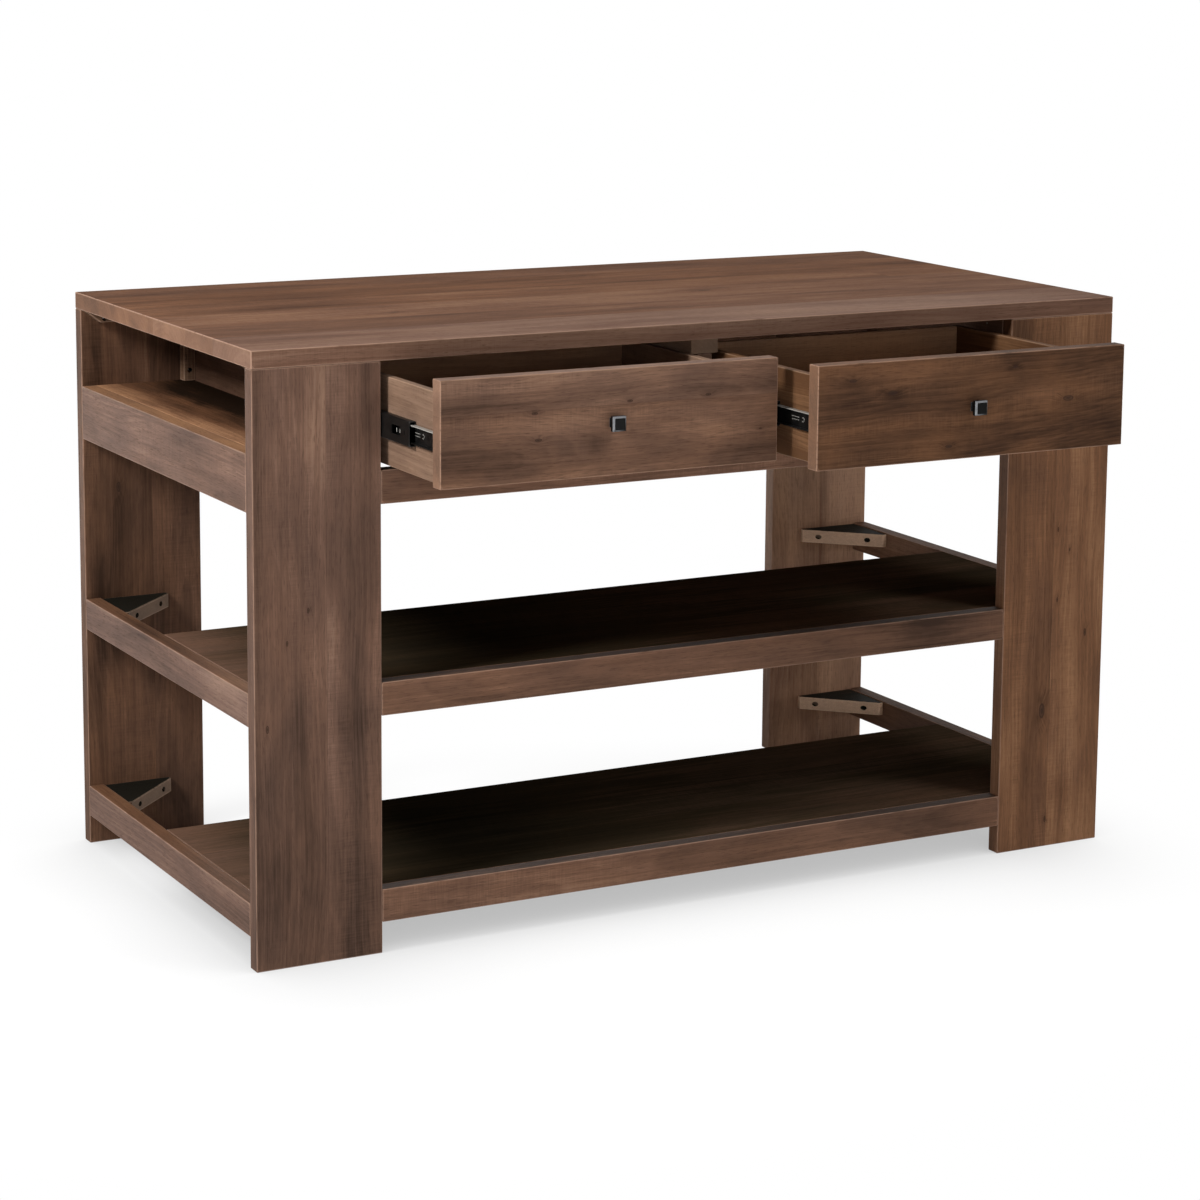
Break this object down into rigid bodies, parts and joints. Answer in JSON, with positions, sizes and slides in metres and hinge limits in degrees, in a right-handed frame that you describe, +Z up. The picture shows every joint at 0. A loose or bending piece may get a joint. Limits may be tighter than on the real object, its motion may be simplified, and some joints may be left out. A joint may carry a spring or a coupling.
{
  "type": "kitchen island",
  "caption": "Kitchen island with a plank worktop on wide plank legs, inset drawers on ball-bearing slides, open end cubbies and half-depth shelves.",
  "frame": {"origin": "on the floor, in the middle of the bounding box of the island with its drawers part open as pictured", "axes": "+X along the island to the right as seen from the drawers, +Y from the drawers to the rear, +Z up"},
  "size_m": [1.524, 1.0836, 0.924],
  "materials": {
    "worktop": "satin dark brown stain",
    "frame": "satin dark brown stain",
    "shelf": "satin dark brown stain",
    "front": "satin dark brown stain",
    "box": "light brown, clear coat",
    "block": "sawn and stained",
    "slide": "black coated steel",
    "knob": "satin black",
    "screw": "zinc plated"
  },
  "bodies": {
    "carcass": {"worktop": "worktop", "leg_front_left": "frame", "leg_front_right": "frame", "leg_rear_left": "frame", "leg_rear_right": "frame", "apron_left": "frame", "apron_right": "frame", "rail_mid_left": "frame", "rail_mid_right": "frame", "rail_low_left": "frame", "rail_low_right": "frame", "case_side_left": "frame", "case_side_right": "frame", "cubby_floor_left": "frame", "cubby_floor_right": "frame", "post_left": "block", "post_right": "block", "cleat_front_left": "block", "cleat_front_right": "block", "cleat_rear_left": "block", "cleat_rear_right": "block", "corner_block_mid_left": "block", "corner_block_mid_right": "block", "corner_block_low_left": "block", "corner_block_low_right": "block", "shelf_mid": "shelf", "shelf_low": "shelf", "shelf_rail_mid": "frame", "shelf_rail_low": "frame", "drawer_rail": "frame", "rear_apron": "frame", "stretcher": "block", "divider": "frame", "slide_left_outer_cabinet": "slide", "slide_left_inner_cabinet": "slide", "slide_right_inner_cabinet": "slide", "slide_right_outer_cabinet": "slide"},
    "drawer_left": {"drawer_left_front": "front", "drawer_left_side_left": "box", "drawer_left_side_right": "box", "drawer_left_back": "box", "drawer_left_bottom": "box", "knob_left": "knob", "knob_screw_left": "screw", "slide_left_outer_drawer": "slide", "slide_left_inner_drawer": "slide"},
    "drawer_right": {"drawer_right_front": "front", "drawer_right_side_left": "box", "drawer_right_side_right": "box", "drawer_right_back": "box", "drawer_right_bottom": "box", "knob_right": "knob", "knob_screw_right": "screw", "slide_right_inner_drawer": "slide", "slide_right_outer_drawer": "slide"},
    "runner_left_outer": {"slide_left_outer_middle": "slide"},
    "runner_left_inner": {"slide_left_inner_middle": "slide"},
    "runner_right_inner": {"slide_right_inner_middle": "slide"},
    "runner_right_outer": {"slide_right_outer_middle": "slide"}
  },
  "joints": [
    {"name": "drawer_left_slide", "type": "slide", "parent": "carcass", "child": "drawer_left", "axis": [0, -1, 0], "range_m": [-0.197, 0.203]},
    {"name": "drawer_right_slide", "type": "slide", "parent": "carcass", "child": "drawer_right", "axis": [0, -1, 0], "range_m": [-0.301, 0.099]},
    {"name": "runner_left_outer_slide", "type": "slide", "parent": "carcass", "child": "runner_left_outer", "axis": [0, -1, 0], "range_m": [-0.12214, 0.12586]},
    {"name": "runner_left_inner_slide", "type": "slide", "parent": "carcass", "child": "runner_left_inner", "axis": [0, -1, 0], "range_m": [-0.12214, 0.12586]},
    {"name": "runner_right_inner_slide", "type": "slide", "parent": "carcass", "child": "runner_right_inner", "axis": [0, -1, 0], "range_m": [-0.18662, 0.06138]},
    {"name": "runner_right_outer_slide", "type": "slide", "parent": "carcass", "child": "runner_right_outer", "axis": [0, -1, 0], "range_m": [-0.18662, 0.06138]}
  ],
  "couplings": [
    {"joint": "runner_left_outer_slide", "follows": "drawer_left_slide", "ratio": 0.62},
    {"joint": "runner_left_inner_slide", "follows": "drawer_left_slide", "ratio": 0.62},
    {"joint": "runner_right_inner_slide", "follows": "drawer_right_slide", "ratio": 0.62},
    {"joint": "runner_right_outer_slide", "follows": "drawer_right_slide", "ratio": 0.62}
  ]
}
